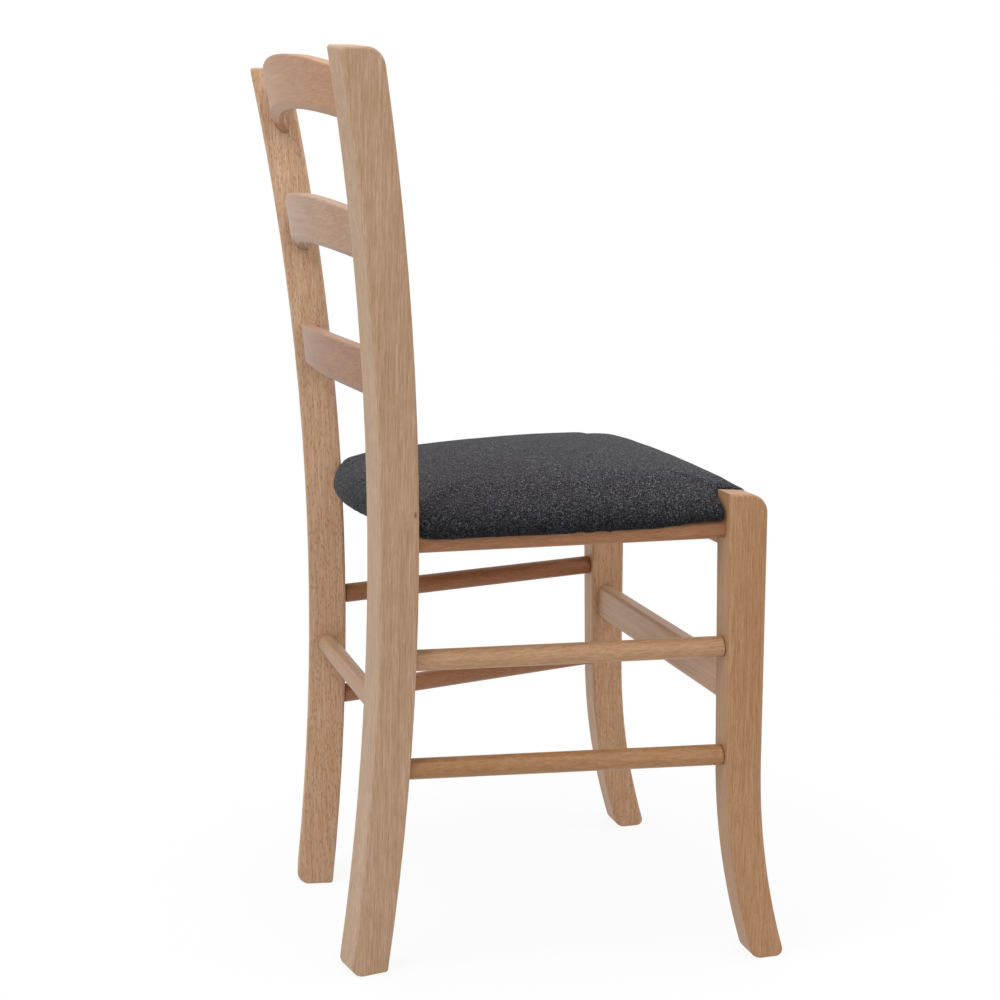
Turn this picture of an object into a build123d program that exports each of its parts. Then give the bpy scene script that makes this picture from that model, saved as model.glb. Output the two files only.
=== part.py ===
from build123d import *
from math import cos, radians, sin, sqrt, tan
import os

# Ladder-back dining chair with an upholstered seat, in millimetres.
# Z is up, the floor is Z = 0, the sitter faces -Y, and the chair is mirrored about X = 0.

# Rear posts: one bowed plank each, splayed outwards and turned to meet the curved slats
chair_height = 878.0
post_depth = 39.5
post_width = 34.0
post_turn = 10.0                   # degrees about the vertical
post_splay = 5.8                   # degrees outwards
post_foot_x = 120.0
post_y = 154.9
post_bend_radius = 2900.0
post_bend_height = 390.0           # along the post, where it stands furthest forward
post_edge_round = 2.8
post_top_round = 19.0
post_heel_round = 13.0

# Front legs: straight to the knee, then a sabre curve forwards
seat_front_height = 446.0          # top of the front rail
leg_above_seat = 26.0
leg_top_fall = 3.0
leg_width = 32.0
leg_x = 196.5
leg_front_y = -200.1
leg_top_depth = 40.0
leg_knee_depth = 36.5
leg_knee_height = 205.0
leg_toe_out = 31.0
leg_heel_out = 33.0
leg_edge_round = 3.0
leg_top_round = 19.0
leg_heel_round = 13.0
leg_toe_round = 7.0

# Joinery
fit_gap = 0.1                      # between a tenon and its mortise, all round
shoulder_gap = 0.05                # between a shoulder and the face it meets
tenon_length = 16.0
rear_tenon_length = 7.0            # of the rear rail, clear of the side rail tenons
mortise_spare = 1.0                # a blind mortise is this much deeper than its tenon

# Back slats, from the top down: bent in plan, with arched edges
slat_thickness = 13.0
slat_place = -0.04                 # across the depth of the post, from its middle
slat_sagitta = 25.0
slat_bevel = 7.0                   # of its lower edge behind
slat_edge_round = 1.5              # of its other long edges
slat_tenon_length = 14.0
slat_names = ("top_slat", "middle_slat", "bottom_slat")
slat_drops = (43.5, 167.5, 291.0)         # from the top of the post to the middle of the slat's end
slat_end_talls = (47.0, 45.0, 45.0)       # its height there
slat_top_rises = (23.2, 18.0, 9.3)        # rise of the upper edge at mid span
slat_bottom_rises = (19.5, 15.3, 9.5)     # rise of the lower edge at mid span

# Round stretchers
stretcher_diameter = 20.4
stretcher_tenon_diameter = 14.0
stretcher_shoulder_round = 1.6
upper_stretcher_rear_height = 316.0
upper_stretcher_front_height = 320.0
lower_stretcher_rear_height = 206.0
lower_stretcher_front_height = 211.0
rear_stretcher_height = 265.0

# Front stretcher: a flat bar
front_stretcher_height = 278.5
front_stretcher_tall = 37.0
front_stretcher_thick = 17.0
front_stretcher_setback = 13.0     # behind the front of the leg
front_stretcher_round = 4.0

# Seat rails: their tops lie in the sloping seat plane
seat_slope = 0.75                  # degrees, falling to the back
side_rail_tall = 19.0
side_rail_thick = 22.0
side_rail_inset = 4.0              # rail axis inside the leg axis at the front
side_rail_round = 8.0
front_rail_tall = 34.0
front_rail_thick = 20.0
front_rail_setback = 8.0           # behind the front of the leg
rear_rail_tall = 10.5
rear_rail_thick = 9.0
rear_rail_round = 3.0
rear_rail_setback = 0.5            # behind the front of the post
end_rail_round = 4.0
rail_tenon_tall = 11.0
rail_tenon_thick = 10.0
rear_tenon_tall = 6.5
rear_tenon_thick = 5.5

# Seat pad: board, foam and cover
soft_gap = 0.3
cover_thickness = 1.2
board_thickness = 12.0
board_inset = 12.0
cover_wrap = 44.0                  # width of cover folded under the board
pad_front_overhang = 1.0           # in front of the legs
pad_front_bow = 10.0
pad_front_share = 0.8              # of an inset, at the front, which is the fuller side
pad_front_half_width = 207.0
pad_rear_half_width = 175.5
pad_rear_y = 139.4
pad_rear_bow = 34.0
pad_corner_round = 20.0
pad_notch_gap = 1.2
pad_crown = 49.0
pad_rim_height = 25.0
pad_rim_inset = 13.0
pad_draw_in = 4.0                  # of the sides at their foot
pad_side_steps = 4
pad_crown_inset = 130.0            # from the edge to the flat middle of the crown
pad_crown_steps = 4
foam_gap = 0.6                     # between the foam and the cover

# Fasteners
screw_length = 26.0
screw_diameter = 4.0
screw_head_diameter = 8.0
screw_head_height = 3.0
screw_pocket_depth = 4.0
screw_clearance = 0.2
screw_places = (0.25, 0.75)        # along each side rail
staple_crown = 10.0
staple_wire = 0.8
staple_leg = 6.0
staple_inset = 37.0
staple_end_margin = 60.0
staple_counts = {"front": 8, "rear": 5, "side": 6}

sides = {"right": -1, "left": 1}
os.makedirs("parts", exist_ok=True)


def keep_piece(piece, name):
    piece.part.label = name
    export_step(piece.part, f"parts/{name}.step")


# Places on the rear posts, the front legs and the seat


def post_plane(side):
    # Local x runs back, local y runs up the splayed post, local z runs towards +X
    up = Vector(side * tan(radians(post_splay)), 0, 1).normalized()
    back = Vector(side * sin(radians(post_turn)), cos(radians(post_turn)), 0)
    back = (back - up * back.dot(up)).normalized()
    return Plane(origin=(side * post_foot_x, post_y, 0), x_dir=back, z_dir=back.cross(up))


def post_offset(along, depth_share):
    # Set-back at a distance along the post: -0.5 is its front face and 0.5 its back face
    radius = post_bend_radius - depth_share * post_depth
    return post_bend_radius - sqrt(radius**2 - (along - post_bend_height) ** 2)


def post_point(side, height, depth_share, width_share=0.0):
    # A width share of -0.5 is the inner face
    plane = post_plane(side)
    along = height
    for _ in range(4):
        place = (post_offset(along, depth_share), along, side * width_share * post_width)
        point = plane.from_local_coords(place)
        along += height - point.Z
    return point


def post_front_face(side, height):
    # Plane that touches the front face at a height and looks forwards
    plane = post_plane(side)
    along = height / cos(radians(post_splay))
    lean = plane.x_dir * (post_offset(along, -0.5) - post_bend_radius)
    rise = plane.y_dir * (along - post_bend_height)
    return Plane(origin=post_point(side, height, -0.5), z_dir=lean + rise)


def post_inner_face(side, height):
    return Plane(origin=post_point(side, height, 0.0, -0.5), z_dir=post_plane(side).z_dir * -side)


leg_height = seat_front_height + leg_above_seat
leg_rear_slope = (leg_top_depth - leg_knee_depth) / (leg_height - leg_knee_height)
leg_inner_x = leg_x - leg_width / 2


def leg_rear_point(side, height, inset=0.0):
    depth = leg_knee_depth + (height - leg_knee_height) * leg_rear_slope
    return Vector(side * (leg_x - inset), leg_front_y + depth, height)


def leg_rear_face(side, height):
    return Plane(origin=leg_rear_point(side, height), z_dir=(0, 1, -leg_rear_slope))


def leg_inner_face(side):
    return Plane(origin=(side * leg_inner_x, 0, 0), z_dir=(-side, 0, 0))


front_rail_y = leg_front_y + front_rail_setback + front_rail_thick / 2
rear_rail_share = (rear_rail_setback + rear_rail_thick / 2) / post_depth - 0.5
seat_mid_height = seat_front_height + tan(radians(seat_slope)) * front_rail_y
seat_plane = Plane(
    origin=(0, 0, seat_mid_height),
    x_dir=(1, 0, 0),
    z_dir=(0, sin(radians(seat_slope)), cos(radians(seat_slope))),
)


def seat_height(y):
    return seat_mid_height - tan(radians(seat_slope)) * y


# Bars and their tenons


def round_bar(start, end, diameter, reach):
    axis = (end - start).normalized()
    with BuildPart() as bar:
        with BuildSketch(Plane(origin=start - axis * reach, x_dir=(0, 0, 1), z_dir=axis)):
            Circle(diameter / 2)
        extrude(amount=(end - start).length + 2 * reach)
    return bar.part


def flat_bar(start, end, thick, tall, edge_round, reach):
    axis = (end - start).normalized()
    across = Vector(0, 0, 1).cross(axis)
    with BuildPart() as bar:
        with BuildSketch(Plane(origin=start - axis * reach, x_dir=across, z_dir=axis)):
            if edge_round:
                RectangleRounded(thick, tall, edge_round)
            else:
                Rectangle(thick, tall)
        extrude(amount=(end - start).length + 2 * reach)
    return bar.part


def shouldered(body, tenon, faces, shoulder_round):
    # A bar cut to the two faces that it stands between, with its tenons run on past them
    with BuildPart() as bar:
        add(body)
        for face in faces:
            split(bisect_by=face.offset(shoulder_gap), keep=Keep.TOP)
        if shoulder_round:
            fillet(bar.edges().filter_by(GeomType.LINE, reverse=True), shoulder_round)
        add(tenon)
    return bar


class Bar:
    # A stretcher or rail: where it runs, its section, its tenon and the faces that it meets
    def __init__(self, start, end, faces, section, tenon, edge_round=0.0, reach=tenon_length):
        self.ends = (start, end)
        self.faces = faces
        self.section = section
        self.tenon = tenon
        self.edge_round = edge_round
        self.reach = reach

    def run(self, section, edge_round, reach):
        if len(section) == 1:
            return round_bar(*self.ends, section[0], reach)
        return flat_bar(*self.ends, *section, edge_round, reach)

    def piece(self):
        body = self.run(self.section, self.edge_round, max(self.section))
        tenon = self.run(self.tenon, 0.0, self.reach)
        is_round = len(self.section) == 1
        return shouldered(body, tenon, self.faces, stretcher_shoulder_round if is_round else 0.0)

    def mortise(self):
        grown = tuple(size + 2 * fit_gap for size in self.tenon)
        return self.run(grown, 0.0, self.reach + mortise_spare)


bars = {}
round_section = (stretcher_diameter,)
round_tenon = (stretcher_tenon_diameter,)
rail_tenon = (rail_tenon_thick, rail_tenon_tall)
side_stretcher_heights = {
    "upper_stretcher": (upper_stretcher_rear_height, upper_stretcher_front_height),
    "lower_stretcher": (lower_stretcher_rear_height, lower_stretcher_front_height),
}
for side_name, side in sides.items():
    for name, (rear_height, front_height) in side_stretcher_heights.items():
        bars[f"{name}_{side_name}"] = Bar(
            post_point(side, rear_height, -0.5),
            leg_rear_point(side, front_height),
            (post_front_face(side, rear_height), leg_rear_face(side, front_height)),
            round_section,
            round_tenon,
        )
    rail_rear_height = seat_height(post_y - post_depth / 2) - side_rail_tall / 2
    rail_front_height = seat_height(leg_front_y + leg_top_depth) - side_rail_tall / 2
    bars[f"side_seat_rail_{side_name}"] = Bar(
        post_point(side, rail_rear_height, -0.5),
        leg_rear_point(side, rail_front_height, side_rail_inset),
        (post_front_face(side, rail_rear_height), leg_rear_face(side, rail_front_height)),
        (side_rail_thick, side_rail_tall),
        rail_tenon,
        side_rail_round,
    )

rear_rail_y = post_point(1, seat_mid_height, rear_rail_share).Y
rear_rail_height = seat_height(rear_rail_y) - rear_rail_tall / 2
bars["rear_seat_rail"] = Bar(
    post_point(-1, rear_rail_height, rear_rail_share, -0.5),
    post_point(1, rear_rail_height, rear_rail_share, -0.5),
    [post_inner_face(side, rear_rail_height) for side in sides.values()],
    (rear_rail_thick, rear_rail_tall),
    (rear_tenon_thick, rear_tenon_tall),
    rear_rail_round,
    rear_tenon_length,
)
bars["rear_stretcher"] = Bar(
    post_point(-1, rear_stretcher_height, 0.0, -0.5),
    post_point(1, rear_stretcher_height, 0.0, -0.5),
    [post_inner_face(side, rear_stretcher_height) for side in sides.values()],
    round_section,
    round_tenon,
)
front_rail_height = seat_front_height - front_rail_tall / 2
bars["front_seat_rail"] = Bar(
    Vector(-leg_inner_x, front_rail_y, front_rail_height),
    Vector(leg_inner_x, front_rail_y, front_rail_height),
    [leg_inner_face(side) for side in sides.values()],
    (front_rail_thick, front_rail_tall),
    (rail_tenon_thick, 2 * rail_tenon_tall),
    end_rail_round,
)
front_stretcher_y = leg_front_y + front_stretcher_setback + front_stretcher_thick / 2
bars["front_stretcher"] = Bar(
    Vector(-leg_inner_x, front_stretcher_y, front_stretcher_height),
    Vector(leg_inner_x, front_stretcher_y, front_stretcher_height),
    [leg_inner_face(side) for side in sides.values()],
    (front_stretcher_thick, front_stretcher_tall),
    (rail_tenon_thick, 2 * rail_tenon_tall),
    front_stretcher_round,
)


# Back slats


def slat_form(height, end_tall, top_rise, bottom_rise, grow, reach):
    # A bent board that leans back with the posts, its edges cut level to an arched outline
    joint = post_point(1, height, slat_place, -0.5)
    lean = post_front_face(1, height).z_dir
    face = Plane(origin=(0, joint.Y, joint.Z), x_dir=(1, 0, 0), z_dir=(0, lean.Y, lean.Z))
    bed = Plane(origin=face.origin, x_dir=(1, 0, 0), z_dir=face.y_dir)
    upright = Plane(origin=face.origin, x_dir=(1, 0, 0), z_dir=(0, -1, 0))
    half = joint.X
    end = half + reach
    mid_radius = (half**2 + slat_sagitta**2) / (2 * slat_sagitta)
    top = end_tall / 2 + grow
    thick = slat_thickness + 2 * grow

    def bow(x, radius):
        return slat_sagitta - mid_radius + sqrt(radius**2 - x**2)

    def is_long(edge):
        return edge.length > half

    def arch(level, rise):
        drop = rise * (1 - (end / half) ** 2)
        return (-end, level + drop), (0, level + rise), (end, level + drop)

    with BuildPart() as slat:
        with BuildSketch(bed):
            with BuildLine():
                outer_radius = mid_radius + thick / 2
                inner_radius = mid_radius - thick / 2
                outer = ThreePointArc(*[(x, bow(x, outer_radius)) for x in (-end, 0, end)])
                inner = ThreePointArc(*[(x, bow(x, inner_radius)) for x in (-end, 0, end)])
                Line(outer @ 0, inner @ 0)
                Line(outer @ 1, inner @ 1)
            make_face()
        extrude(amount=2 * end_tall, both=True)
        with BuildSketch(upright):
            with BuildLine():
                upper = ThreePointArc(*arch(top, top_rise))
                lower = ThreePointArc(*arch(-top, bottom_rise))
                Line(upper @ 0, lower @ 0)
                Line(upper @ 1, lower @ 1)
            make_face()
        extrude(amount=4 * slat_sagitta, both=True, mode=Mode.INTERSECT)
        forward = Axis(face.origin, face.z_dir)
        chamfer(slat.edges().filter_by(is_long).sort_by(forward)[:2].sort_by(Axis.Z)[:1], slat_bevel)
        fillet(slat.edges().filter_by(is_long).sort_by(Axis.Z)[-2:], slat_edge_round)
        fillet(slat.edges().filter_by(is_long).sort_by(forward)[-2:].sort_by(Axis.Z)[:1], slat_edge_round)
    return slat


slat_heights = [chair_height - drop for drop in slat_drops]
slat_sizes = list(zip(slat_heights, slat_end_talls, slat_top_rises, slat_bottom_rises))
slat_mortises = [
    slat_form(*size, fit_gap, slat_tenon_length + mortise_spare).part for size in slat_sizes
]
for name, size in zip(slat_names, slat_sizes):
    keep_piece(slat_form(*size, 0.0, slat_tenon_length), name)


# Rear posts


def make_post(side, mortises):
    low = -post_depth
    high = (chair_height + post_depth) / cos(radians(post_splay))
    heights = (low, post_bend_height, high)
    plane = post_plane(side)
    top_cut = Plane(origin=post_point(side, chair_height, 0.0), z_dir=plane.y_dir)
    with BuildPart() as post:
        with BuildSketch(plane):
            with BuildLine():
                front = ThreePointArc(*[(post_offset(h, -0.5), h) for h in heights])
                back = ThreePointArc(*[(post_offset(h, 0.5), h) for h in heights])
                Line(front @ 0, back @ 0)
                Line(front @ 1, back @ 1)
            make_face()
        extrude(amount=post_width / 2, both=True)
        split(bisect_by=Plane.XY, keep=Keep.TOP)
        split(bisect_by=top_cut, keep=Keep.BOTTOM)
        fillet(post.faces().sort_by(Axis.Z)[-1].edges().sort_by(Axis.Y)[0], post_top_round)
        fillet(post.faces().sort_by(Axis.Z)[-1].edges().sort_by(Axis.Y)[-1], post_edge_round)
        fillet(post.faces().sort_by(Axis.Z)[0].edges().sort_by(Axis.Y)[-1], post_heel_round)
        fillet(post.faces().sort_by(Axis.Z)[0].edges().sort_by(Axis.Y)[0], post_edge_round)
        cheeks = post.faces().filter_by(Axis(plane.origin, plane.z_dir))
        fillet(cheeks.edges(), post_edge_round)
        for mortise in mortises:
            add(mortise, mode=Mode.SUBTRACT)
    return post


# Front legs


def make_leg(side, mortises):
    back_top = leg_front_y + leg_top_depth
    back_knee = leg_front_y + leg_knee_depth
    with BuildPart() as leg:
        with BuildSketch(Plane.YZ.offset(side * leg_x)):
            with BuildLine():
                front = Line((leg_front_y, leg_height - leg_top_fall), (leg_front_y, leg_knee_height))
                toe = TangentArc(front @ 1, (leg_front_y - leg_toe_out, 0), tangent=front % 1)
                back = Line((back_top, leg_height), (back_knee, leg_knee_height))
                heel = TangentArc(back @ 1, (back_knee - leg_heel_out, 0), tangent=back % 1)
                Line(front @ 0, back @ 0)
                Line(toe @ 1, heel @ 1)
            make_face()
        extrude(amount=leg_width / 2, both=True)
        fillet(leg.faces().sort_by(Axis.Z)[-1].edges().sort_by(Axis.Y)[0], leg_top_round)
        fillet(leg.faces().sort_by(Axis.Z)[0].edges().sort_by(Axis.Y)[-1], leg_heel_round)
        fillet(leg.faces().sort_by(Axis.Z)[0].edges().sort_by(Axis.Y)[0], leg_toe_round)
        fillet(leg.faces().filter_by(Axis.X).edges(), leg_edge_round)
        for mortise in mortises:
            add(mortise, mode=Mode.SUBTRACT)
    return leg


# Seat pad


def pad_outline(height, inset, corner_round):
    # Outline of the pad at a height above the seat plane, drawn in by an inset
    front = leg_front_y - pad_front_overhang + inset * pad_front_share
    rear = pad_rear_y - inset
    front_half = pad_front_half_width - inset
    rear_half = pad_rear_half_width - inset
    front_bow = pad_front_bow * front_half / pad_front_half_width
    rear_bow = pad_rear_bow * rear_half / pad_rear_half_width
    with BuildSketch(seat_plane.offset(height)) as outline:
        with BuildLine():
            ThreePointArc((-front_half, front), (0, front - front_bow), (front_half, front))
            Line((front_half, front), (rear_half, rear))
            ThreePointArc((rear_half, rear), (0, rear + rear_bow), (-rear_half, rear))
            Line((-rear_half, rear), (-front_half, front))
        make_face()
        fillet(outline.vertices(), corner_round)
    return outline.sketch.face()


def pad_corner(inset):
    share = max(inset - pad_rim_inset, 0.0) / pad_crown_inset
    return (1 - share) * pad_corner_round + share * (pad_rear_half_width - inset) * 0.8


def pad_side_levels(skin):
    # Height and inset up the side: drawn in at the foot, rolled over at the rim
    levels = []
    for step in range(pad_side_steps + 1):
        share = step / pad_side_steps
        bottom = soft_gap + skin
        height = bottom + (pad_rim_height - skin - bottom) * share
        inset = pad_draw_in * (1 - share) ** 3 + pad_rim_inset * share**3
        levels.append((height, inset + skin))
    return levels


def pad_crown_levels(skin):
    # Height and inset from the rim to the flat middle of the crown
    levels = []
    for step in range(pad_crown_steps + 1):
        share = step / pad_crown_steps
        height = pad_crown - (pad_crown - pad_rim_height) * (1 - share) ** 2
        inset = pad_rim_inset + (pad_crown_inset - pad_rim_inset) * share
        levels.append((height - skin, inset + skin))
    return levels


def pad_form(skin):
    side, crown = [
        [pad_outline(height, inset, pad_corner(inset)) for height, inset in levels]
        for levels in (pad_side_levels(skin), pad_crown_levels(skin))
    ]
    with BuildPart() as form:
        loft(side)
        loft(crown)
    return form.part


def pad_prism(bottom, top, inset):
    outline = pad_outline(bottom, inset, pad_corner_round)
    with BuildPart() as prism:
        extrude(outline, amount=top - bottom)
    return prism.part


def pad_notches(gap):
    # Room for the front legs and the rear posts, which stand up past the pad
    reach = 2 * pad_crown
    low = seat_mid_height - reach
    cuts = []
    for side in sides.values():
        with BuildPart() as leg_cut:
            with BuildSketch(Plane.XY.offset(low)):
                with Locations((side * leg_x, leg_front_y)):
                    Rectangle(leg_width + 2 * gap, 2 * (leg_top_depth + gap))
            extrude(amount=2 * reach)
        plane = post_plane(side)
        foot = post_point(side, low, 0.0)
        with BuildPart() as post_cut:
            with BuildSketch(Plane(origin=foot, x_dir=plane.x_dir, z_dir=plane.y_dir)):
                Rectangle(post_depth + 2 * gap, post_width + 2 * gap)
            extrude(amount=2 * reach)
        cuts += [leg_cut.part, post_cut.part]
    return cuts


def notched(form, gap, extra_cuts=()):
    cuts = pad_notches(gap) + list(extra_cuts)
    with BuildPart() as piece:
        add(form)
        for cut in cuts:
            add(cut, mode=Mode.SUBTRACT)
    return piece


# Fasteners

board_bottom = soft_gap + cover_thickness
board_top = board_bottom + board_thickness


def screw_spots():
    spots = []
    for side_name in sides:
        rear, front = bars[f"side_seat_rail_{side_name}"].ends
        for share in screw_places:
            spots.append(seat_plane.to_local_coords(rear + (front - rear) * share))
    return [(spot.X, spot.Y) for spot in spots]


def screw_shapes(grow):
    # Pan-head screws, driven up through the side rails into the board
    seat = screw_pocket_depth - side_rail_tall
    with BuildPart() as screws:
        with BuildSketch(seat_plane.offset(seat)):
            with Locations(*screw_spots()):
                Circle(screw_head_diameter / 2 + grow)
        extrude(amount=-screw_head_height - 2 * grow)
        with BuildSketch(seat_plane.offset(seat)):
            with Locations(*screw_spots()):
                Circle(screw_diameter / 2 + grow)
        extrude(amount=screw_length + grow)
    return screws


def staple_spots():
    # Place and direction of each staple along the four edges of the folded cover
    front = leg_front_y - pad_front_overhang + staple_inset
    rear = pad_rear_y - staple_inset
    front_half = pad_front_half_width - staple_inset
    rear_half = pad_rear_half_width - staple_inset
    corners = {
        "front": [(Vector(-front_half, front), Vector(front_half, front))],
        "rear": [(Vector(-rear_half, rear), Vector(rear_half, rear))],
        "side": [
            (Vector(side * front_half, front), Vector(side * rear_half, rear)) for side in sides.values()
        ],
    }
    spots = []
    for edge_name, edges in corners.items():
        for start, end in edges:
            run = end - start
            along = run.normalized()
            step = (run.length - staple_end_margin) / (staple_counts[edge_name] - 1)
            for index in range(staple_counts[edge_name]):
                spots.append((start + along * (staple_end_margin / 2 + index * step), along))
    return spots


def staple_shapes(grow):
    wire = staple_wire + 2 * grow
    crown = staple_crown + 2 * grow
    leg_middle = (staple_leg + grow) / 2
    leg_spread = (staple_crown - staple_wire) / 2
    with BuildPart() as staples:
        for spot, along in staple_spots():
            place = seat_plane.from_local_coords(Vector(spot.X, spot.Y, soft_gap))
            x_dir = seat_plane.x_dir * along.X + seat_plane.y_dir * along.Y
            with BuildSketch(Plane(origin=place, x_dir=x_dir, z_dir=x_dir.cross(seat_plane.z_dir))):
                with Locations((0, -staple_wire / 2)):
                    Rectangle(crown, wire)
                with Locations((-leg_spread, leg_middle), (leg_spread, leg_middle)):
                    Rectangle(wire, staple_leg + grow)
            extrude(amount=wire / 2, both=True)
    return staples


screw_holes = screw_shapes(screw_clearance).part
staple_slots = staple_shapes(fit_gap).part
keep_piece(screw_shapes(0.0), "seat_screws")
keep_piece(staple_shapes(0.0), "cover_staples")

wrap_opening = pad_prism(0.0, board_bottom, cover_wrap)
cover_inside = notched(pad_form(cover_thickness), pad_notch_gap + cover_thickness).part
keep_piece(
    notched(pad_form(0.0), pad_notch_gap, (cover_inside, wrap_opening, screw_holes, staple_slots)),
    "seat_cover",
)
inner_gap = cover_thickness + foam_gap
keep_piece(
    notched(
        pad_prism(board_bottom, board_top, board_inset),
        pad_notch_gap + inner_gap,
        (screw_holes, staple_slots),
    ),
    "seat_board",
)
foam_form = pad_form(inner_gap)
below_board_top = pad_prism(-board_top, board_top, -board_inset)
keep_piece(notched(foam_form, pad_notch_gap + inner_gap, (below_board_top,)), "seat_foam")

# Frame

for side_name, side in sides.items():
    side_mortises = [bar.mortise() for name, bar in bars.items() if name.endswith(side_name)]
    rear_mortises = [bars[name].mortise() for name in ("rear_seat_rail", "rear_stretcher")]
    front_mortises = [bars[name].mortise() for name in ("front_seat_rail", "front_stretcher")]
    post = make_post(side, side_mortises + rear_mortises + slat_mortises)
    keep_piece(post, f"rear_post_{side_name}")
    leg = make_leg(side, side_mortises + front_mortises)
    keep_piece(leg, f"front_leg_{side_name}")

for name, bar in bars.items():
    piece = bar.piece()
    if name.startswith("side_seat_rail"):
        with BuildPart() as rail:
            add(piece.part)
            add(screw_holes, mode=Mode.SUBTRACT)
        piece = rail
    keep_piece(piece, name)
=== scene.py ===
import math

import bmesh
import bpy
import numpy as np
from mathutils import Matrix, Vector


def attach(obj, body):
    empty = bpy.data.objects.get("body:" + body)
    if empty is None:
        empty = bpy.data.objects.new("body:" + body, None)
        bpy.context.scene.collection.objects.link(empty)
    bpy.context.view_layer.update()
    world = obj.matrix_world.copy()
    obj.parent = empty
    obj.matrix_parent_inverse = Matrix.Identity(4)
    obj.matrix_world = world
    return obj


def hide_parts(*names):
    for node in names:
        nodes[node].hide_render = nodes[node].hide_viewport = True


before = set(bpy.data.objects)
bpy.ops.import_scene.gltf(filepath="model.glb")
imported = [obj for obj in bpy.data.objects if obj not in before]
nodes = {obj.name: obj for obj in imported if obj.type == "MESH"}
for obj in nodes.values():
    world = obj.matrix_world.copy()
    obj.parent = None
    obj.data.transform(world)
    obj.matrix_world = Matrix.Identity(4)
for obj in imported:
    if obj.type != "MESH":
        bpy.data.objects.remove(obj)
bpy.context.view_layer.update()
scene = bpy.context.scene
scene.view_settings.view_transform = "Standard"
print("chair frame loaded:", len(nodes), "pieces")


# the camera stands behind the chair's right side, a little under the top slat
cameraSet = {
    "place": (-1.81881, 0.5439, 0.77778), "turn": 16.5003, "dip": 10.3329,
    "lens": 67.377, "sensor": 36.0, "shift": (0.0016, 0.0062), "clip": (0.05, 60.0),
}


def aimAlong(obj, place, look):
    obj.location = place
    obj.rotation_mode = "QUATERNION"
    obj.rotation_quaternion = look.to_track_quat("-Z", "Y")


def makeCamera(s):
    data = bpy.data.cameras.new("chairCamera")
    data.sensor_width = s["sensor"]
    data.lens = s["lens"]
    data.shift_x, data.shift_y = s["shift"]
    data.clip_start, data.clip_end = s["clip"]
    cam = bpy.data.objects.new("chairCamera", data)
    scene.collection.objects.link(cam)
    turn, dip = math.radians(s["turn"]), math.radians(s["dip"])
    look = (math.cos(turn) * math.cos(dip), -math.sin(turn) * math.cos(dip), -math.sin(dip))
    aimAlong(cam, s["place"], Vector(look))
    scene.camera = cam


makeCamera(cameraSet)
print("camera placed")


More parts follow.
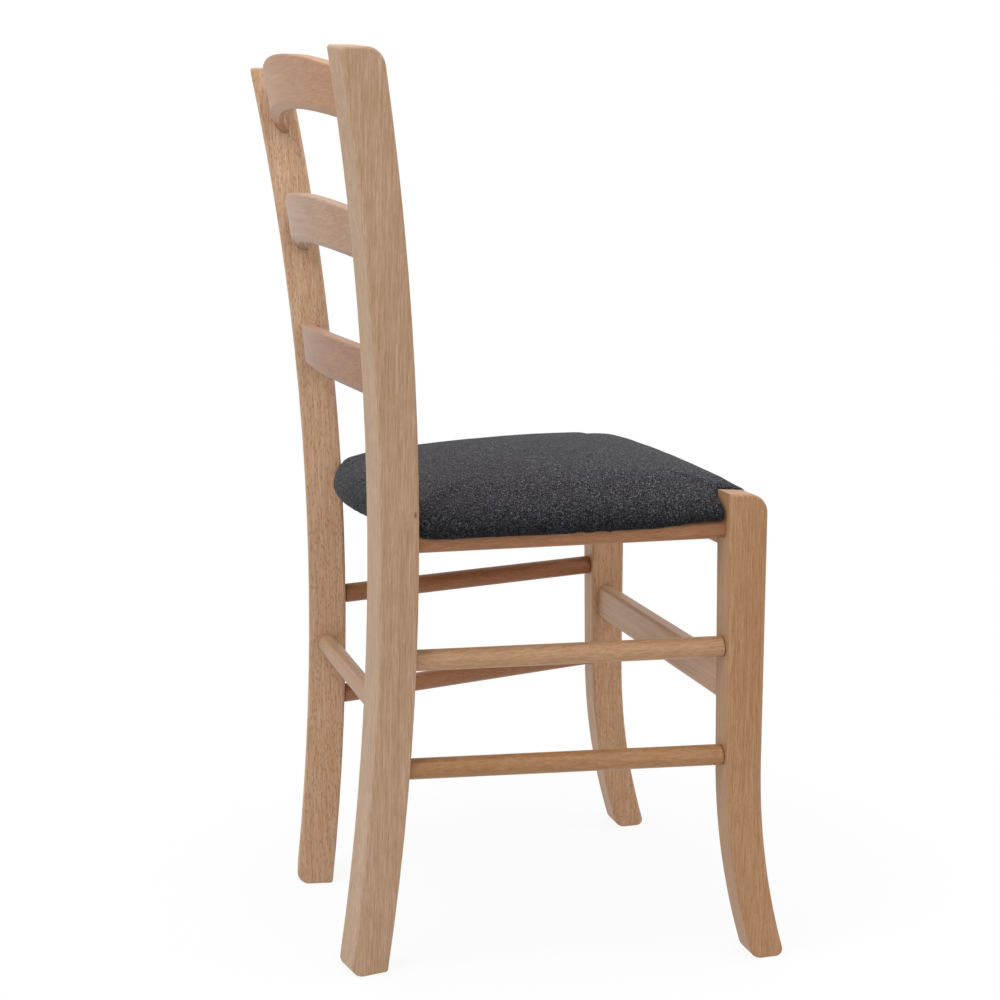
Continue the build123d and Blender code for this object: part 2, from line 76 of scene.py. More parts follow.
class NodeSheet:
    # short way to wire up a material's nodes
    def __init__(self, name):
        self.mat = bpy.data.materials.new(name)
        self.mat.use_nodes = True
        self.tree = self.mat.node_tree
        self.tree.nodes.clear()
        self.out = self.add("ShaderNodeOutputMaterial")

    def add(self, kind, **values):
        node = self.tree.nodes.new(kind)
        for key, value in values.items():
            setattr(node, key, value)
        return node

    def link(self, a, b):
        self.tree.links.new(a, b)

    def put(self, socket, value):
        if isinstance(value, bpy.types.NodeSocket):
            self.link(value, socket)
        else:
            socket.default_value = value

    def place(self):
        return self.add("ShaderNodeTexCoord").outputs["Object"]

    def apart(self, vector):
        node = self.add("ShaderNodeSeparateXYZ")
        self.link(vector, node.inputs[0])
        return node.outputs

    def facing(self, axis):
        normal = self.add("ShaderNodeTexCoord").outputs["Normal"]
        return self.math("ABSOLUTE", self.apart(normal)[axis])

    def math(self, op, a, b=0.0):
        node = self.add("ShaderNodeMath", operation=op)
        self.put(node.inputs[0], a)
        self.put(node.inputs[1], b)
        return node.outputs[0]

    def times(self, a, b):
        return self.math("MULTIPLY", a, b)

    def plus(self, a, b):
        return self.math("ADD", a, b)

    def scaled(self, vector, sizes):
        node = self.add("ShaderNodeVectorMath", operation="MULTIPLY")
        self.link(vector, node.inputs[0])
        node.inputs[1].default_value = sizes
        return node.outputs[0]

    def noise(self, vector, scale=1.0, detail=2.0, rough=0.5, distort=0.0):
        node = self.add("ShaderNodeTexNoise")
        self.link(vector, node.inputs["Vector"])
        node.inputs["Scale"].default_value = scale
        node.inputs["Detail"].default_value = detail
        node.inputs["Roughness"].default_value = rough
        node.inputs["Distortion"].default_value = distort
        return node.outputs[0]

    def ramp(self, fac, stops):
        node = self.add("ShaderNodeValToRGB")
        self.link(fac, node.inputs[0])
        bar = node.color_ramp.elements
        while len(bar) < len(stops):
            bar.new(0.5)
        for el, (pos, col) in zip(bar, stops):
            el.position = pos
            el.color = (*col, 1.0)
        return node.outputs[0]

    def span(self, value, low, high, toLow=0.0, toHigh=1.0, smooth=False):
        node = self.add("ShaderNodeMapRange", clamp=True)
        node.interpolation_type = "SMOOTHSTEP" if smooth else "LINEAR"
        self.link(value, node.inputs[0])
        for i, v in zip((1, 2, 3, 4), (low, high, toLow, toHigh)):
            node.inputs[i].default_value = v
        return node.outputs[0]

    def mix(self, fac, a, b, blend="MIX"):
        node = self.add("ShaderNodeMix", data_type="RGBA", blend_type=blend)
        self.put(node.inputs["Factor"], fac)
        self.link(a, node.inputs["A"])
        self.put(node.inputs["B"], (*b, 1.0) if isinstance(b, tuple) else b)
        return node.outputs["Result"]

    def darken(self, colour, value):
        grey = self.add("ShaderNodeCombineColor")
        for i in range(3):
            self.link(value, grey.inputs[i])
        return self.mix(1.0, colour, grey.outputs[0], "MULTIPLY")

    def bump(self, height, depth, strength):
        node = self.add("ShaderNodeBump")
        node.inputs["Strength"].default_value = strength
        node.inputs["Distance"].default_value = depth
        self.link(height, node.inputs["Height"])
        return node.outputs[0]

    def shader(self, colour, rough, normal, **uniform):
        node = self.add("ShaderNodeBsdfPrincipled")
        self.put(node.inputs["Base Color"], colour)
        self.put(node.inputs["Roughness"], rough)
        self.link(normal, node.inputs["Normal"])
        for key, value in uniform.items():
            node.inputs[key].default_value = value
        self.link(node.outputs[0], self.out.inputs["Surface"])


# clear-lacquered beech: fine straight grain, short dark ray flecks on the flat-sawn faces
# cells are counted per metre across the rays, through the rays and along the fibres
beechSet = {
    "broadCells": (14.0, 16.0, 1.3), "ringCells": (260.0, 320.0), "fibreCells": (680.0, 680.0),
    "ringRun": {"X": 1.5, "Y": 3.0, "Z": 7.0}, "fibreRun": {"X": 7.0, "Y": 40.0, "Z": 36.0},
    "broadShare": 0.45, "ringShare": 0.55, "seedStep": (0.37, 0.61, 0.83),
    "figure": ((0.33, (0.395, 0.247, 0.156)), (0.5, (0.438, 0.295, 0.2)), (0.67, (0.492, 0.35, 0.25))),
    "streak": ((0.33, (0.80, 0.69, 0.56)), (0.66, (1.07, 1.07, 1.07))),
    "rayCells": (620.0, 70.0, 150.0), "rayBody": (0.5, 0.2), "rayChosen": (0.05, 0.5),
    "fleck": (0.30, 0.128, 0.05), "fleckAmount": 0.66, "flatFacing": (0.35, 0.85),
    "rayPale": (0.492, 0.35, 0.25), "rayGloss": 0.16, "rayDepth": 0.5,
    "edgeTone": (0.60, 0.43, 0.31), "edgeRadius": 0.002, "edgeTurn": (0.995, 0.9), "edgeAmount": 0.2,
    "edgePatches": (0.35, 0.65), "relief": (0.00025, 0.35),
    "knotTone": (0.2, 0.052, 0.012), "knotAmount": 0.85, "knotReach": (0.0021, 0.0007),
    "knotSquash": (0.15, 1.0, 0.42), "fibreMiddle": (0.3, 0.7), "rough": (0.39, 0.55),
    "lacquer": {"Specular IOR Level": 0.3, "Coat Weight": 0.12, "Coat Roughness": 0.35},
}
axisOrder = {"X": 0, "Y": 1, "Z": 2}


def woodAxes(sheet, coords, grain, flat, seed, lean):
    # x across the rays, y through the rays, z along the fibres
    turned = sheet.add("ShaderNodeMapping", vector_type="POINT")
    sheet.link(coords, turned.inputs["Vector"])
    turned.inputs["Rotation"].default_value = [math.radians(a) for a in lean]
    turned.inputs["Location"].default_value = [seed * step for step in beechSet["seedStep"]]
    apart = sheet.apart(turned.outputs[0])
    along, through = axisOrder[grain], axisOrder[flat]
    across = ({0, 1, 2} - {along, through}).pop()
    wood = sheet.add("ShaderNodeCombineXYZ")
    for i, axis in enumerate((across, through, along)):
        sheet.link(apart[axis], wood.inputs[i])
    return wood.outputs[0]


def rayCells(sheet, wood):
    # thin upright spindles seen end on, wide patches seen from the side
    s = beechSet
    cells = sheet.add("ShaderNodeTexVoronoi", feature="F1")
    sheet.link(sheet.scaled(wood, s["rayCells"]), cells.inputs["Vector"])
    cells.inputs["Scale"].default_value = 1.0
    cells.inputs["Randomness"].default_value = 1.0
    pick = sheet.add("ShaderNodeSeparateColor")
    sheet.link(cells.outputs["Color"], pick.inputs[0])
    body = sheet.span(cells.outputs["Distance"], *s["rayBody"], smooth=True)
    return sheet.times(body, sheet.span(pick.outputs[0], *s["rayChosen"]))


def nearEdges(sheet):
    s = beechSet
    soft = sheet.add("ShaderNodeBevel", samples=4)
    soft.inputs["Radius"].default_value = s["edgeRadius"]
    dot = sheet.add("ShaderNodeVectorMath", operation="DOT_PRODUCT")
    sheet.link(soft.outputs[0], dot.inputs[0])
    sheet.link(sheet.add("ShaderNodeNewGeometry").outputs["Normal"], dot.inputs[1])
    return sheet.span(dot.outputs["Value"], *s["edgeTurn"], 0.0, s["edgeAmount"])


def beech(name, grain, flat, seed, toneAndPaintedLight, flecks, lean, knot):
    # grain: axis the fibres run along; flat: axis the flat-sawn faces look along
    s = beechSet
    sheet = NodeSheet(name)
    coords = sheet.place()
    wood = woodAxes(sheet, coords, grain, flat, seed, lean)
    ringSize = (*s["ringCells"], s["ringRun"][grain])
    fibreSize = (*s["fibreCells"], s["fibreRun"][grain])
    broad = sheet.noise(sheet.scaled(wood, s["broadCells"]), detail=3.0, rough=0.55, distort=0.4)
    rings = sheet.noise(sheet.scaled(wood, ringSize), detail=3.0, rough=0.6, distort=0.1)
    fibre = sheet.noise(sheet.scaled(wood, fibreSize), detail=3.0, rough=0.7)
    figure = sheet.plus(sheet.times(broad, s["broadShare"]), sheet.times(rings, s["ringShare"]))
    base = sheet.ramp(figure, s["figure"])
    base = sheet.mix(1.0, base, sheet.ramp(fibre, s["streak"]), "MULTIPLY")

    # rays are dark flecks on the flat-sawn faces and pale patches on the others
    ray = rayCells(sheet, wood)
    onFlat = sheet.span(sheet.facing(axisOrder[flat]), *s["flatFacing"], smooth=True)
    onSide = sheet.math("SUBTRACT", 1.0, onFlat)
    dark = sheet.times(sheet.times(ray, onFlat), s["fleckAmount"] * flecks)
    base = sheet.mix(dark, base, s["fleck"])
    base = sheet.mix(sheet.times(sheet.times(ray, onSide), s["rayGloss"]), base, s["rayPale"])

    # worn, slightly paler edges
    worn = sheet.times(nearEdges(sheet), sheet.span(broad, *s["edgePatches"]))
    base = sheet.mix(worn, base, s["edgeTone"])
    # tint: the plank's own tone together with painted light and shade for how brightly the piece is lit
    base = sheet.mix(1.0, base, toneAndPaintedLight, "MULTIPLY")
    if knot:
        away = sheet.add("ShaderNodeVectorMath", operation="DISTANCE")
        sheet.link(sheet.scaled(coords, s["knotSquash"]), away.inputs[0])
        away.inputs[1].default_value = [a * b for a, b in zip(knot, s["knotSquash"])]
        spot = sheet.span(away.outputs["Value"], *s["knotReach"], 0.0, s["knotAmount"], smooth=True)
        base = sheet.mix(spot, base, s["knotTone"])

    rough = sheet.span(fibre, *s["fibreMiddle"], *s["rough"])
    relief = sheet.math("SUBTRACT", fibre, sheet.times(ray, s["rayDepth"] * flecks))
    sheet.shader(base, rough, sheet.bump(relief, *s["relief"]), **s["lacquer"])
    return sheet.mat


sharpTurn = 32.0  # degrees between faces that still shade as one


def dress(nodeName, material):
    data = nodes[nodeName].data
    data.materials.clear()
    data.materials.append(material)
    data.shade_smooth()
    data.set_sharp_from_angle(angle=math.radians(sharpTurn))


# each piece is cut from its own plank: grain way, flat-sawn way, seed, tint, share of flecks; the tint is
# partly the plank's own tone and partly painted light and shade, paler on pieces that catch less lamp
# light and darker on pieces in shade, such as the right side rail under the pad's lip
plankSet = {
    "rear_post_right": ("Z", "X", 1.3, (1.02, 1.0, 0.96), 0.3),
    "rear_post_left": ("Z", "X", 4.1, (1.11, 1.06, 1.0), 1.15),
    "front_leg_right": ("Z", "X", 7.7, (0.90, 0.75, 0.56), 0.45),
    "front_leg_left": ("Z", "X", 9.2, (1.16, 1.06, 0.93), 1.0),
    "top_slat": ("X", "Y", 12.5, (0.95, 0.76, 0.61), 0.1),
    "middle_slat": ("X", "Y", 15.6, (0.92, 0.845, 0.83), 0.1),
    "bottom_slat": ("X", "Y", 18.7, (0.78, 0.64, 0.62), 0.1),
    "upper_stretcher_right": ("Y", "Z", 23.0, (0.93, 0.81, 0.66), 0.6),
    "lower_stretcher_right": ("Y", "Z", 25.3, (0.76, 0.58, 0.365), 0.6),
    "upper_stretcher_left": ("Y", "Z", 27.6, (0.66, 0.41, 0.25), 0.6),
    "lower_stretcher_left": ("Y", "Z", 29.9, (0.73, 0.5, 0.35), 0.6),
    "rear_stretcher": ("X", "Z", 33.4, (0.95, 0.88, 0.82), 0.6),
    "front_stretcher": ("X", "Y", 36.1, (1.28, 1.27, 1.3), 0.4),
    "side_seat_rail_right": ("Y", "X", 41.0, (0.69, 0.465, 0.31), 0.4),
    "side_seat_rail_left": ("Y", "X", 46.7, (0.8, 0.63, 0.52), 0.4),
    "front_seat_rail": ("X", "Y", 52.3, (0.92, 0.84, 0.76), 0.4),
    "rear_seat_rail": ("X", "Y", 55.9, (0.7, 0.56, 0.47), 0.4),
}
postSplay = 5.8  # degrees the posts lean out to their sides
leans = {"rear_post_right": (0, postSplay, 0), "rear_post_left": (0, -postSplay, 0)}
knots = {
    "upper_stretcher_left": (0.161, -0.0251, 0.3281),
    "rear_post_right": (-0.1849, 0.1380, 0.4621),
}
for name, plank in plankSet.items():
    dress(name, beech("beech." + name, *plank, leans.get(name, (0, 0, 0)), knots.get(name)))
print("beech laid on the frame")


# plywood board under the pad
plySet = {
    "face": (0.56, 0.41, 0.27), "line": (0.43, 0.29, 0.17), "swirlCells": (30.0, 2.5, 30.0),
    "faceStops": (0.35, 0.6), "ply": 0.0015, "waver": 0.6, "edgeFacing": (0.9, 0.3),
    "lineEdges": (0.2, 0.8), "lineAmount": 0.6, "rough": 0.62, "relief": (0.0003, 0.3),
}


def plywood(s):
    sheet = NodeSheet("birchPly")
    coords = sheet.place()
    swirl = sheet.noise(sheet.scaled(coords, s["swirlCells"]), detail=4.0, rough=0.6, distort=1.2)
    face = sheet.ramp(swirl, list(zip(s["faceStops"], (s["line"], s["face"]))))
    layers = sheet.add("ShaderNodeTexWave", wave_type="BANDS", bands_direction="Z", wave_profile="SIN")
    sheet.link(coords, layers.inputs["Vector"])
    layers.inputs["Scale"].default_value = 1.0 / (s["ply"] * math.tau)
    layers.inputs["Distortion"].default_value = s["waver"]
    upright = sheet.span(sheet.facing(axisOrder["Z"]), *s["edgeFacing"])
    stripes = sheet.times(sheet.span(layers.outputs[1], *s["lineEdges"]), upright)
    colour = sheet.mix(sheet.times(stripes, s["lineAmount"]), face, s["line"])
    sheet.shader(colour, s["rough"], sheet.bump(swirl, *s["relief"]))
    return sheet.mat


steelSet = {
    "cells": 900.0, "tones": ((0.3, (0.46, 0.46, 0.47)), (0.7, (0.68, 0.68, 0.69))),
    "scuffed": (0.3, 0.7), "rough": (0.24, 0.42), "relief": (0.0001, 0.3),
}


def brightSteel(s):
    sheet = NodeSheet("zincWire")
    scuffs = sheet.noise(sheet.place(), s["cells"], detail=3.0, rough=0.6)
    rough = sheet.span(scuffs, *s["scuffed"], *s["rough"])
    sheet.shader(sheet.ramp(scuffs, s["tones"]), rough, sheet.bump(scuffs, *s["relief"]), Metallic=1.0)
    return sheet.mat


foamSet = {
    "cells": 1400.0, "tones": ((0.3, (0.60, 0.55, 0.42)), (0.7, (0.80, 0.76, 0.64))),
    "rough": 0.95, "relief": (0.0006, 0.6),
}


def padFoam(s):
    sheet = NodeSheet("creamFoam")
    cells = sheet.noise(sheet.place(), s["cells"], rough=0.6)
    sheet.shader(sheet.ramp(cells, s["tones"]), s["rough"], sheet.bump(cells, *s["relief"]))
    return sheet.mat


dress("seat_board", plywood(plySet))
steel = brightSteel(steelSet)
dress("cover_staples", steel)
dress("seat_screws", steel)
dress("seat_foam", padFoam(foamSet))
print("seat board, foam, staples and screws dressed")


# charcoal melange weave: grey and near-black yarns, in short streaks along the thread ways
weaveSet = {
    "tones": (
        (0.41, (0.0036, 0.0033, 0.0042)), (0.48, (0.0195, 0.0178, 0.0208)),
        (0.535, (0.058, 0.0543, 0.061)), (0.615, (0.22, 0.207, 0.225)),
    ),
    "speckCells": 900.0, "speckShare": 0.4, "tuftCells": 340.0, "tuftShare": 0.16,
    "yarnAlong": 260.0, "yarnAcross": 900.0, "yarnShare": 0.147,
    # painted shade: valley tone darkens the valleys of the weave
    "thread": 0.0011, "valley": (-0.9, 0.2), "valleyShadeTone": 0.7,
    # painted shade: foot tone darkens the cloth towards the foot of the pad
    "footZ": 0.437, "footRise": 0.044, "footShadeTone": 0.34,
    "weaveDepth": 0.25, "yarnDepth": 1.2, "relief": (0.0006, 0.6), "rough": 0.94,
    "nap": {
        "Sheen Weight": 0.16, "Sheen Tint": (0.62, 0.62, 0.62, 1.0), "Sheen Roughness": 0.42,
        "Specular IOR Level": 0.1,
    },
}


def melange(s):
    sheet = NodeSheet("charcoalMelange")
    coords = sheet.place()
    speck = sheet.noise(coords, s["speckCells"], rough=0.75)
    tuft = sheet.noise(coords, s["tuftCells"], rough=0.6)
    value = sheet.plus(sheet.times(speck, s["speckShare"]), sheet.times(tuft, s["tuftShare"]))
    for way in range(3):
        cells = [s["yarnAlong"] if axis == way else s["yarnAcross"] for axis in range(3)]
        yarn = sheet.noise(sheet.scaled(coords, cells), detail=1.0)
        value = sheet.plus(value, sheet.times(yarn, s["yarnShare"]))
    colour = sheet.ramp(value, s["tones"])

    # over and under of a plain weave, on whichever faces the threads lie; the valleys are darkened as
    # painted shade
    apart = sheet.apart(coords)
    waves = [sheet.math("SINE", sheet.times(apart[i], math.pi / s["thread"])) for i in range(3)]
    weave = sheet.times(waves[0], waves[1])
    weave = sheet.plus(weave, sheet.times(waves[1], waves[2]))
    weave = sheet.plus(weave, sheet.times(waves[2], waves[0]))
    colour = sheet.darken(colour, sheet.span(weave, *s["valley"], s["valleyShadeTone"], 1.0))

    # painted shade: the cloth is darkened towards the foot of the pad
    footTop = s["footZ"] + s["footRise"]
    paintedFootShade = sheet.span(apart[2], s["footZ"], footTop, s["footShadeTone"], 1.0, smooth=True)
    colour = sheet.darken(colour, paintedFootShade)
    relief = sheet.plus(sheet.times(weave, s["weaveDepth"]), sheet.times(value, s["yarnDepth"]))
    sheet.shader(colour, s["rough"], sheet.bump(relief, *s["relief"]), **s["nap"])
    return sheet.mat


# domed seat pad: droops a little over the side rails, rolled at the rim, notched round legs and posts
padSet = {
    "seatHeight": 0.443616, "slope": 0.75, "lift": 0.0003,
    "frontY": -0.2011, "rearY": 0.1394, "frontHalf": 0.207, "rearHalf": 0.1755,
    "frontBow": 0.010, "rearBow": 0.034, "cornerRound": 0.015, "crownSoft": 1.05, "frontShare": 0.8,
    "edgeSteps": 200, "ringPoints": 240, "finer": 4, "sideLevels": 6, "crownLevels": 8,
    "footInset": 0.004, "underInset": 0.012, "rim": (0.024, 0.013), "crown": (0.0465, 0.135),
    "crownShares": (0.75, 0.5, 0.25),
    "droop": 0.0068, "droopFrom": (-0.155, -0.095), "droopLeast": 0.25,
    "rearTuck": 0.003, "sideBulge": 0.004, "footOut": 0.0055,
    "legX": 0.1965, "legWidth": 0.032, "legFront": -0.2001, "legDepth": 0.0405,
    "legOut": 0.04, "legAhead": 0.05, "notchGap": 0.0016, "cutTall": 0.2, "cutLift": 0.02,
    "postDepth": 0.0395, "postWidth": 0.034, "postTurn": 10.0, "postSpot": (0.1656, 0.1551),
    "postOut": 0.05, "heldBelow": 0.006, "fillSteps": 20, "maxSwell": 0.003,
    "voxel": 0.002, "smoothing": 0.5, "smoothings": 10, "unevenSize": 0.04, "unevenDepth": 0.0007,
    "foldWidth": 0.044, "foldHeights": (-0.012, 0.0017), "sharpTurn": 50.0,
}
fillSet = {
    "quality": 6, "mass": 0.25, "tension_stiffness": 18.0, "compression_stiffness": 18.0,
    "shear_stiffness": 8.0, "bending_stiffness": 0.8, "use_pressure": True,
    "uniform_pressure_force": 4.0, "vertex_group_mass": "held", "pin_stiffness": 1.0,
}


def padRing(s, inset):
    # one level of the pad, as a closed run of evenly spaced points with rounded corners
    front = s["frontY"] + inset * s["frontShare"]
    rear = s["rearY"] - inset
    fh, rh = s["frontHalf"] - inset, s["rearHalf"] - inset
    fb, rb = s["frontBow"] * fh / s["frontHalf"], s["rearBow"] * rh / s["rearHalf"]
    t = np.linspace(0, 1, s["edgeSteps"], endpoint=False)
    bow = 1 - (2 * t - 1) ** 2
    run = np.vstack([
        np.column_stack([-fh + 2 * fh * t, front - fb * bow]),
        np.column_stack([fh + (rh - fh) * t, front + (rear - front) * t]),
        np.column_stack([rh - 2 * rh * t, rear + rb * bow]),
        np.column_stack([-rh - (fh - rh) * t, rear + (front - rear) * t]),
    ])
    closed = np.vstack([run, run[:1]])
    along = np.concatenate([[0], np.cumsum(np.linalg.norm(np.diff(closed, axis=0), axis=1))])
    count = s["ringPoints"] * s["finer"]
    stops = np.linspace(0, along[-1], count, endpoint=False)
    even = np.column_stack([np.interp(stops, along, closed[:, k]) for k in (0, 1)])
    rounding = s["cornerRound"] + max(0.0, inset - s["rim"][1]) * s["crownSoft"]
    reach = max(1, int(rounding / (along[-1] / count)))
    kernel = np.ones(2 * reach + 1) / (2 * reach + 1)
    for _ in range(2):
        wrapped = np.vstack([even[-reach:], even, even[:reach]])
        even = np.column_stack([np.convolve(wrapped[:, k], kernel, mode="valid") for k in (0, 1)])
    return even[::s["finer"]]


def onSeat(s, xy, height):
    slope = math.radians(s["slope"])
    level = s["seatHeight"] - math.tan(slope) * xy[1]
    return Vector((xy[0], xy[1] + height * math.sin(slope), level + height))


def padLevels(s):
    # height, inset, and how low the level lies between foot and rim
    rimHeight, rimInset = s["rim"]
    crownHeight, crownInset = s["crown"]
    levels = []
    for k in range(s["sideLevels"] + 1):
        u = k / s["sideLevels"]
        inset = s["footInset"] * (1 - u) ** 3 + rimInset * u ** 3
        levels.append((s["lift"] + (rimHeight - s["lift"]) * u, inset, 1 - u))
    for k in range(1, s["crownLevels"] + 1):
        u = k / s["crownLevels"]
        height = crownHeight - (crownHeight - rimHeight) * (1 - u) ** 2
        levels.append((height, rimInset + (crownInset - rimInset) * u, 0.0))
    return levels


def meshObject(name, work):
    data = bpy.data.meshes.new(name)
    work.to_mesh(data)
    work.free()
    obj = bpy.data.objects.new(name, data)
    scene.collection.objects.link(obj)
    return obj


def solidFromRings(name, rings):
    work = bmesh.new()
    loops = [[work.verts.new(p) for p in ring] for ring in rings]
    for low, high in zip(loops, loops[1:]):
        n = len(low)
        for i in range(n):
            work.faces.new((low[i], low[(i + 1) % n], high[(i + 1) % n], high[i]))
    work.faces.new(list(reversed(loops[0])))
    work.faces.new(loops[-1])
    bmesh.ops.recalc_face_normals(work, faces=work.faces)
    return meshObject(name, work)


def padStart(s):
    droopStart, droopFull = s["droopFrom"]
    rings = [[onSeat(s, xy, s["lift"]) for xy in padRing(s, s["underInset"])]]
    for height, inset, low in padLevels(s):
        flat = padRing(s, inset)
        ahead = np.roll(flat, -1, axis=0) - np.roll(flat, 1, axis=0)
        out = np.column_stack([ahead[:, 1], -ahead[:, 0]])
        out /= np.linalg.norm(out, axis=1)[:, None]
        sideways = np.abs(out[:, 0]) ** 3
        rearward = np.clip(out[:, 1], 0, 1) ** 2
        bulge = s["sideBulge"] * (4 * low * (1 - low)) * sideways
        push = bulge + s["footOut"] * low ** 2 * sideways - s["rearTuck"] * low ** 2 * rearward
        fade = np.clip((flat[:, 1] - droopStart) / (droopFull - droopStart), s["droopLeast"], 1)
        drop = s["droop"] * low ** 2 * sideways * fade
        pushed = flat + out * push[:, None]
        rings.append([onSeat(s, xy, height - d) for xy, d in zip(pushed, drop)])
    crownRing = rings[-1]
    top = sum(crownRing, Vector()) / len(crownRing)
    for share in s["crownShares"]:
        rings.append([top.lerp(p, share) for p in crownRing])
    return solidFromRings("seatPad", rings)


def boxCutter(name, size, turn):
    work = bmesh.new()
    bmesh.ops.create_cube(work, size=1.0)
    bmesh.ops.scale(work, vec=Vector(size), verts=work.verts)
    bmesh.ops.transform(work, matrix=turn, verts=work.verts)
    return meshObject(name, work)


def notchCutters(s):
    cutters = []
    gaps = 2 * s["notchGap"]
    turned = math.radians(s["postTurn"])
    for side in (-1, 1):
        legX = side * (s["legX"] + s["legOut"] / 2)
        legY = s["legFront"] + (s["legDepth"] - s["legAhead"]) / 2
        middle = Vector((legX, legY, s["seatHeight"] + s["cutLift"]))
        size = (s["legWidth"] + gaps + s["legOut"], s["legDepth"] + s["legAhead"] + gaps, s["cutTall"])
        cutters.append(boxCutter("legCut%d" % side, size, Matrix.Translation(middle)))

        up = Vector((side * math.tan(math.radians(postSplay)), 0, 1)).normalized()
        back = Vector((side * math.sin(turned), math.cos(turned), 0))
        back = (back - up * back.dot(up)).normalized()
        across = back.cross(up) * side
        spot = Vector((side * s["postSpot"][0], s["postSpot"][1], s["seatHeight"]))
        turn = Matrix((across, back, up)).transposed().to_4x4()
        turn.translation = spot + across * (s["postOut"] / 2) + up * s["cutLift"]
        size = (s["postWidth"] + gaps + s["postOut"], s["postDepth"] + gaps, s["cutTall"])
        cutters.append(boxCutter("postCut%d" % side, size, turn))
    return cutters


def useModifier(obj, kind, **values):
    mod = obj.modifiers.new(kind.lower(), kind)
    for key, value in values.items():
        setattr(mod, key, value)


def settle(obj):
    # bake the modifiers into the mesh
    graph = bpy.context.evaluated_depsgraph_get()
    graph.update()
    fresh = bpy.data.meshes.new_from_object(obj.evaluated_get(graph))
    old = obj.data
    obj.modifiers.clear()
    obj.data = fresh
    bpy.data.meshes.remove(old)


def points(data):
    flat = np.zeros(len(data.vertices) * 3)
    data.vertices.foreach_get("co", flat)
    return flat.reshape(-1, 3)


def heightsOnSeat(s, co):
    return co[:, 2] - (s["seatHeight"] - math.tan(math.radians(s["slope"])) * co[:, 1])


def swell(obj, s):
    # pressure fills the pad; the underside is held flat on the rails
    start = points(obj.data)
    held = heightsOnSeat(s, start) < s["heldBelow"]
    group = obj.vertex_groups.new(name="held")
    group.add([int(i) for i in np.nonzero(held)[0]], 1.0, "REPLACE")
    mod = obj.modifiers.new("fill", "CLOTH")
    for key, value in fillSet.items():
        setattr(mod.settings, key, value)
    mod.settings.effector_weights.gravity = 0.0
    mod.collision_settings.use_collision = False
    mod.point_cache.frame_start, mod.point_cache.frame_end = 1, s["fillSteps"]
    for step in range(1, s["fillSteps"] + 1):
        scene.frame_set(step)
    graph = bpy.context.evaluated_depsgraph_get()
    moved = points(obj.evaluated_get(graph).to_mesh())
    obj.modifiers.clear()
    scene.frame_set(1)
    shift = moved - start
    size = np.linalg.norm(shift, axis=1)
    print("pad swelled by up to %.1f mm" % (size.max() * 1000))
    shift *= np.minimum(1.0, s["maxSwell"] / np.maximum(size, 1e-9))[:, None]
    shift[held] = 0.0
    obj.data.vertices.foreach_set("co", (start + shift).ravel())
    obj.data.update()
    obj.vertex_groups.clear()


def cutAway(obj, cutters):
    for cutter in cutters:
        useModifier(obj, "BOOLEAN", operation="DIFFERENCE", object=cutter, solver="EXACT")


def makePad(s):
    pad = padStart(s)
    swell(pad, s)
    cutters = notchCutters(s)
    cutAway(pad, cutters)
    settle(pad)
    useModifier(pad, "REMESH", mode="VOXEL", voxel_size=s["voxel"], use_smooth_shade=True)
    useModifier(pad, "SMOOTH", factor=s["smoothing"], iterations=s["smoothings"])
    clouds = bpy.data.textures.new("padUnevenness", "CLOUDS")
    clouds.noise_scale = s["unevenSize"]
    useModifier(
        pad, "DISPLACE", texture=clouds, strength=s["unevenDepth"], mid_level=0.5, texture_coords="LOCAL")
    settle(pad)

    # the cover is folded under, so the board shows inside the fold
    inner = padRing(s, s["foldWidth"])
    opening = solidFromRings("foldOpening", [[onSeat(s, xy, h) for xy in inner] for h in s["foldHeights"]])
    cutAway(pad, [opening])
    settle(pad)
    for extra in cutters + [opening]:
        bpy.data.objects.remove(extra)
    pad.data.materials.clear()
    pad.data.materials.append(melange(weaveSet))
    pad.data.shade_smooth()
    pad.data.set_sharp_from_angle(angle=math.radians(s["sharpTurn"]))
    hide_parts("seat_cover", "seat_foam")
    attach(pad, "root")
    print("seat pad made:", len(pad.data.vertices), "points")


makePad(padSet)


# white sweep and soft studio light; a softbox has its place, aim, size, power and colour
studioSet = {
    "sky": 0.56, "floorHalf": 9.0, "floorTone": 0.82, "floorShade": 0.10, "shadeReach": (0.25, 0.75),
}
white = (1.0, 1.0, 1.0)
lampSet = {
    "topSoftbox": ((-0.3, 0.2, 3.0), (0.0, 0.0, 0.4), 2.6, 39.0, white),
    "rearSoftbox": ((-0.7, 1.5, 2.3), (0.0, 0.15, 0.8), 1.3, 30.0, (0.80, 0.91, 1.0)),
    "frontSoftbox": ((-0.8, -2.2, 2.0), (0.0, -0.1, 0.45), 1.6, 12.0, white),
    "sideSoftbox": ((-2.8, -0.3, 1.5), (0.0, 0.0, 0.45), 2.0, 11.0, white),
}


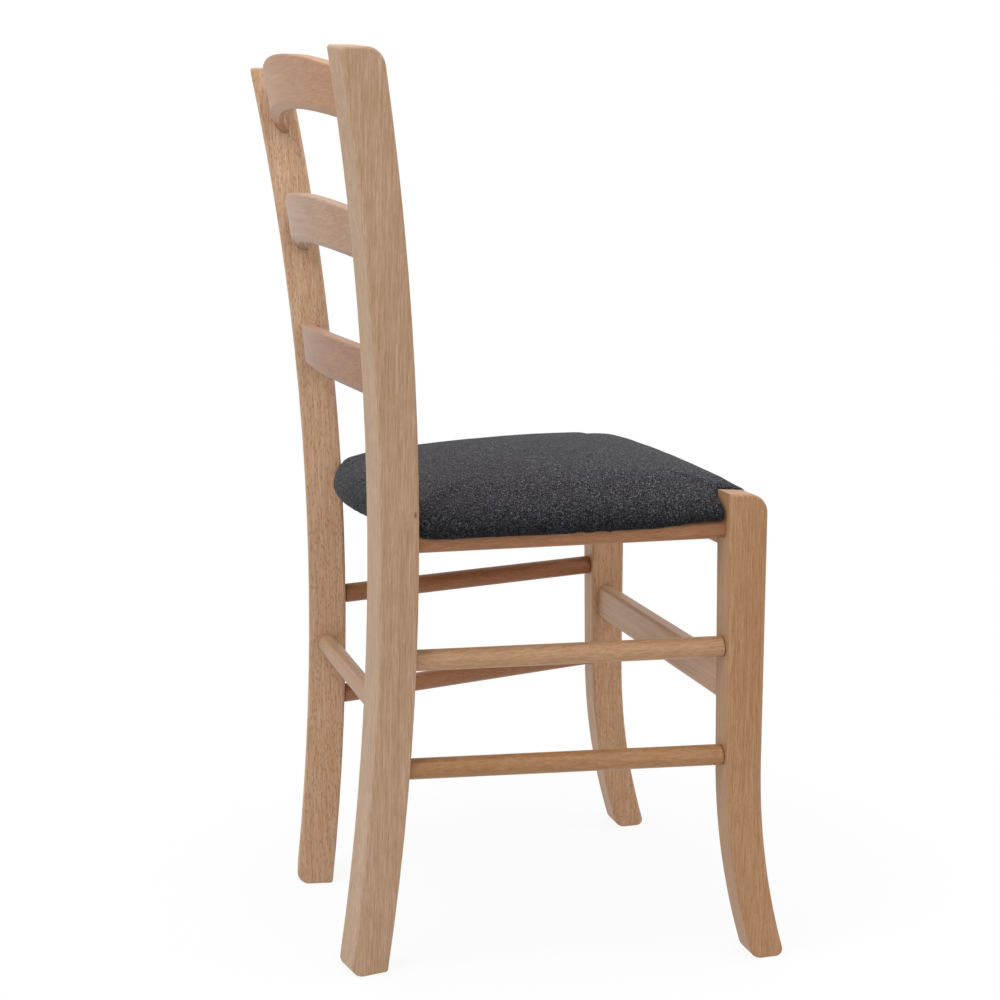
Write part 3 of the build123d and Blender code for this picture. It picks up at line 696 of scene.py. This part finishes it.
def lamp(name, place, aim, size, power, colour):
    data = bpy.data.lights.new(name, "AREA")
    data.shape = "SQUARE"
    data.size = size
    data.energy = power
    data.color = colour
    obj = bpy.data.objects.new(name, data)
    scene.collection.objects.link(obj)
    aimAlong(obj, place, Vector(aim) - Vector(place))


def shownRays(tree):
    # one for the rays that look at the backdrop, nought for those that gather its light
    path = tree.nodes.new("ShaderNodeLightPath")
    shown = path.outputs["Is Camera Ray"]
    for kind in ("Is Glossy Ray", "Is Transmission Ray"):
        either = tree.nodes.new("ShaderNodeMath")
        either.operation = "MAXIMUM"
        tree.links.new(shown, either.inputs[0])
        tree.links.new(path.outputs[kind], either.inputs[1])
        shown = either.outputs[0]
    return shown


def makeSky(s):
    world = bpy.data.worlds.new("studioSky")
    scene.world = world
    world.use_nodes = True
    tree = world.node_tree
    back = next(n for n in tree.nodes if n.type == "BACKGROUND")
    back.inputs["Color"].default_value = (*white, 1.0)
    level = tree.nodes.new("ShaderNodeMapRange")
    tree.links.new(shownRays(tree), level.inputs[0])
    level.inputs[3].default_value = s["sky"]
    level.inputs[4].default_value = 1.0
    tree.links.new(level.outputs[0], back.inputs["Strength"])


def makeFloor(s):
    work = bmesh.new()
    bmesh.ops.create_grid(work, x_segments=8, y_segments=8, size=s["floorHalf"])
    floor = meshObject("studioFloor", work)
    sheet = NodeSheet("floorWhite")
    matt = sheet.add("ShaderNodeBsdfDiffuse")
    matt.inputs["Color"].default_value = (*[s["floorTone"]] * 3, 1.0)
    glow = sheet.add("ShaderNodeEmission")
    glow.inputs["Strength"].default_value = 1.0
    away = sheet.add("ShaderNodeVectorMath", operation="LENGTH")
    sheet.link(sheet.place(), away.inputs[0])
    plain = sheet.span(away.outputs["Value"], *s["shadeReach"], 1.0 - s["floorShade"], 1.0, smooth=True)
    blend = sheet.add("ShaderNodeMixShader")
    sheet.link(sheet.times(shownRays(sheet.tree), plain), blend.inputs[0])
    sheet.link(matt.outputs[0], blend.inputs[1])
    sheet.link(glow.outputs[0], blend.inputs[2])
    sheet.link(blend.outputs[0], sheet.out.inputs["Surface"])
    floor.data.materials.append(sheet.mat)


makeSky(studioSet)
makeFloor(studioSet)
for name, settings in lampSet.items():
    lamp(name, *settings)
print("studio lit")
